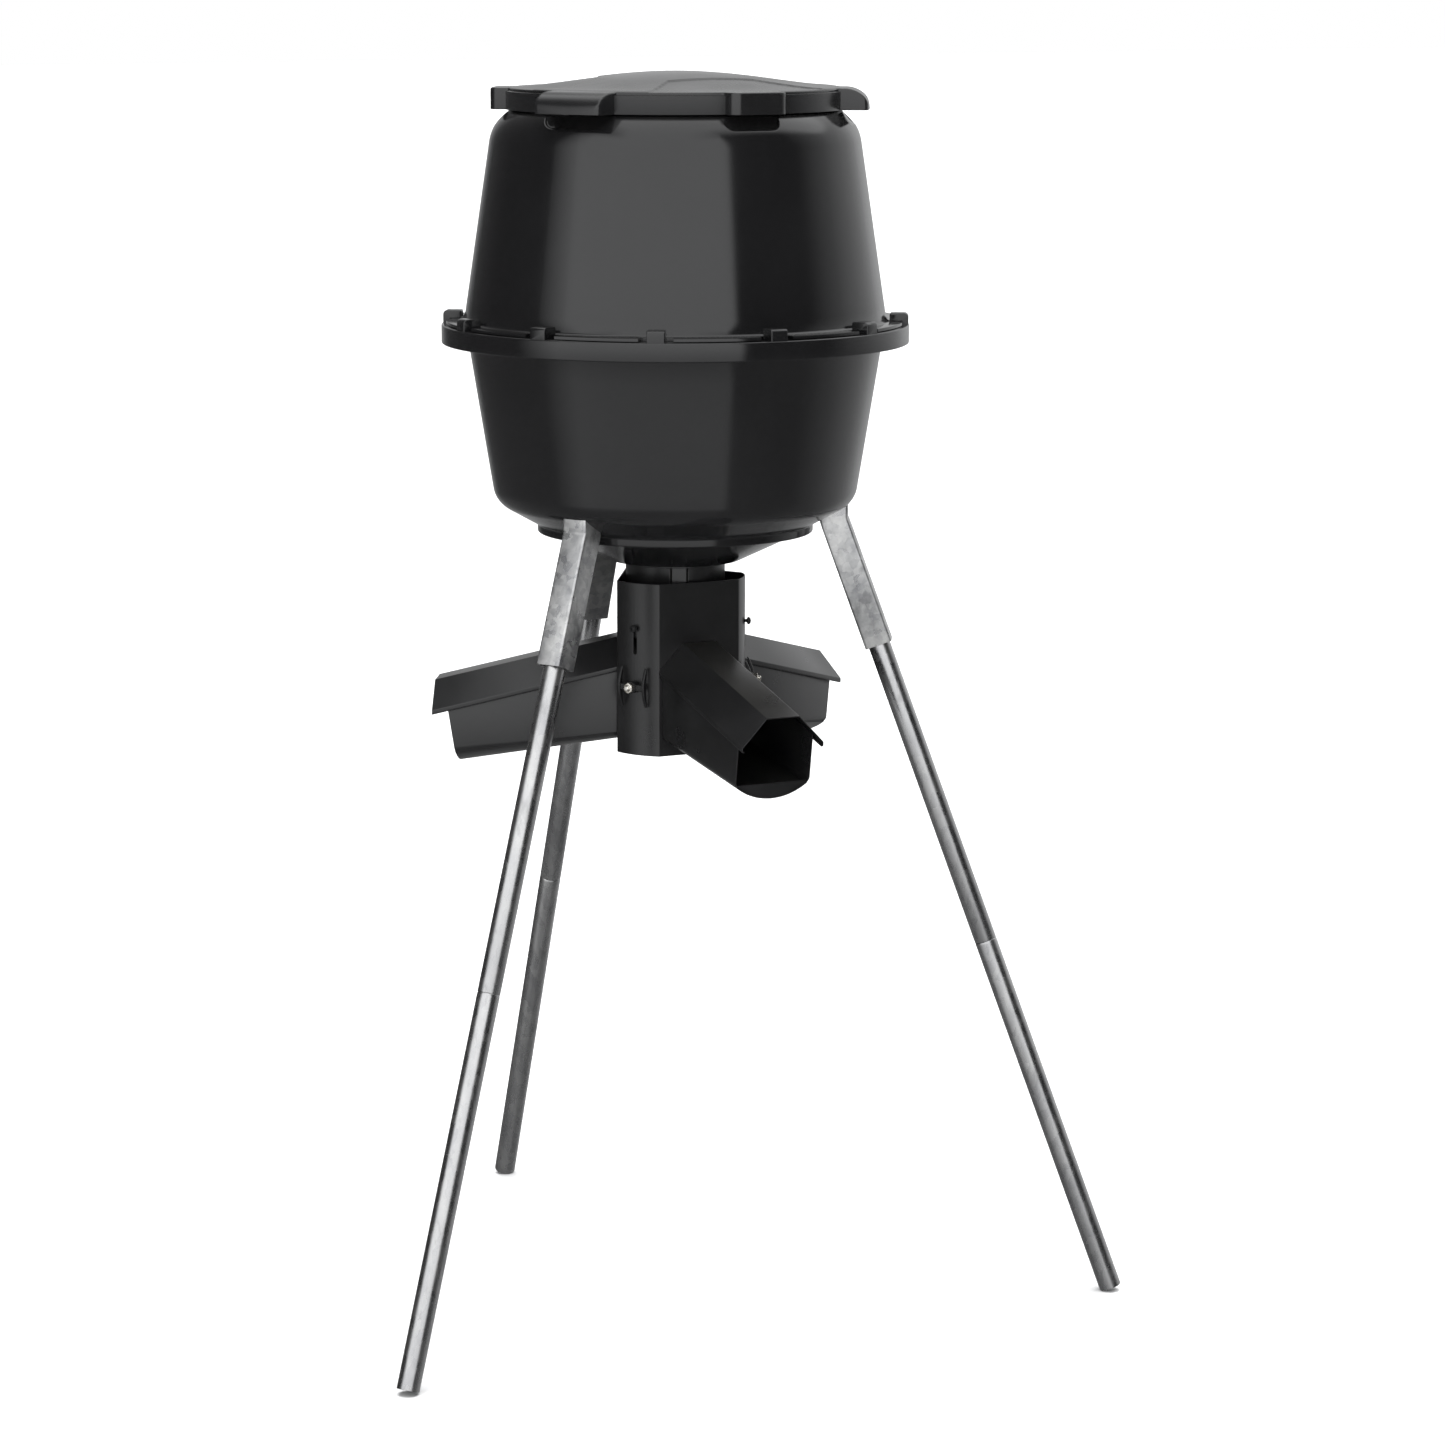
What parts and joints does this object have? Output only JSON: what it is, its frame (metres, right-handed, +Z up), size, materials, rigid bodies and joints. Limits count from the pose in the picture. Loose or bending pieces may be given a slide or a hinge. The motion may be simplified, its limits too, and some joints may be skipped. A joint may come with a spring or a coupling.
{
  "type": "gravity game feeder",
  "caption": "Free-standing gravity feeder: a clipped two-part plastic hopper with a lift-off lid on a tubular tripod, over a sheet-metal head with covered feed chutes.",
  "frame": {"origin": "on the ground, at the centre of the bounding box; the hopper's own axis is vertical, at x = 0 and y = -0.1487", "axes": "+Z is up, -Y is the way the front chute points, and one leg stands back along +Y"},
  "size_m": [1.096, 0.9634, 1.702],
  "materials": {
    "hopper_plastic": "satin moulded black",
    "collar_plastic": "satin moulded black",
    "black_steel": "black powder coat on sheet steel",
    "galvanised_steel": "galvanised, mottled",
    "zinc_fastener": "bright zinc plate",
    "black_fastener": "black coated steel"
  },
  "bodies": {
    "hopper_and_stand": {"upper_barrel": "hopper_plastic", "lower_barrel": "hopper_plastic", "collar": "collar_plastic", "collar_nut": "collar_plastic", "hanger_screw_back": "black_fastener", "hanger_screw_left": "black_fastener", "hanger_screw_right": "black_fastener", "leg_bracket_back": "galvanised_steel", "leg_bracket_left": "galvanised_steel", "leg_bracket_right": "galvanised_steel", "bracket_bolt_back": "zinc_fastener", "bracket_bolt_left": "zinc_fastener", "bracket_bolt_right": "zinc_fastener", "bracket_nut_back": "zinc_fastener", "bracket_nut_left": "zinc_fastener", "bracket_nut_right": "zinc_fastener", "upper_leg_back": "galvanised_steel", "upper_leg_left": "galvanised_steel", "upper_leg_right": "galvanised_steel", "lower_leg_back": "galvanised_steel", "lower_leg_left": "galvanised_steel", "lower_leg_right": "galvanised_steel"},
    "lid": {"lid": "hopper_plastic"},
    "feed_head": {"head_housing": "black_steel", "feed_cone": "black_steel", "chute_trough_front": "black_steel", "chute_trough_right": "black_steel", "chute_trough_left": "black_steel", "chute_roof_front": "black_steel", "chute_roof_right": "black_steel", "chute_roof_left": "black_steel", "wing_bolt_back": "zinc_fastener", "wing_bolt_left": "zinc_fastener", "wing_bolt_right": "zinc_fastener"},
    "wing_nut_back": {"wing_nut_back": "black_fastener", "lock_nut_back": "zinc_fastener"},
    "wing_nut_left": {"wing_nut_left": "black_fastener", "lock_nut_left": "zinc_fastener"},
    "wing_nut_right": {"wing_nut_right": "black_fastener", "lock_nut_right": "zinc_fastener"}
  },
  "joints": [
    {"name": "lid_lift", "type": "slide", "parent": "hopper_and_stand", "child": "lid", "axis": [0, 0, 1], "range_m": [0, 0.25]},
    {"name": "head_lift", "type": "slide", "parent": "hopper_and_stand", "child": "feed_head", "axis": [0, 0, 1], "range_m": [0, 0.023]},
    {"name": "wing_nut_back_turn", "type": "hinge", "parent": "feed_head", "child": "wing_nut_back", "pos_m": [0, -0.04568, 0.8684], "axis": [0, 1, 0], "continuous": true},
    {"name": "wing_nut_left_turn", "type": "hinge", "parent": "feed_head", "child": "wing_nut_left", "pos_m": [-0.0892, -0.20018, 0.8684], "axis": [-0.866, -0.5, 0], "continuous": true},
    {"name": "wing_nut_right_turn", "type": "hinge", "parent": "feed_head", "child": "wing_nut_right", "pos_m": [0.0892, -0.20018, 0.8684], "axis": [0.866, -0.5, 0], "continuous": true}
  ]
}
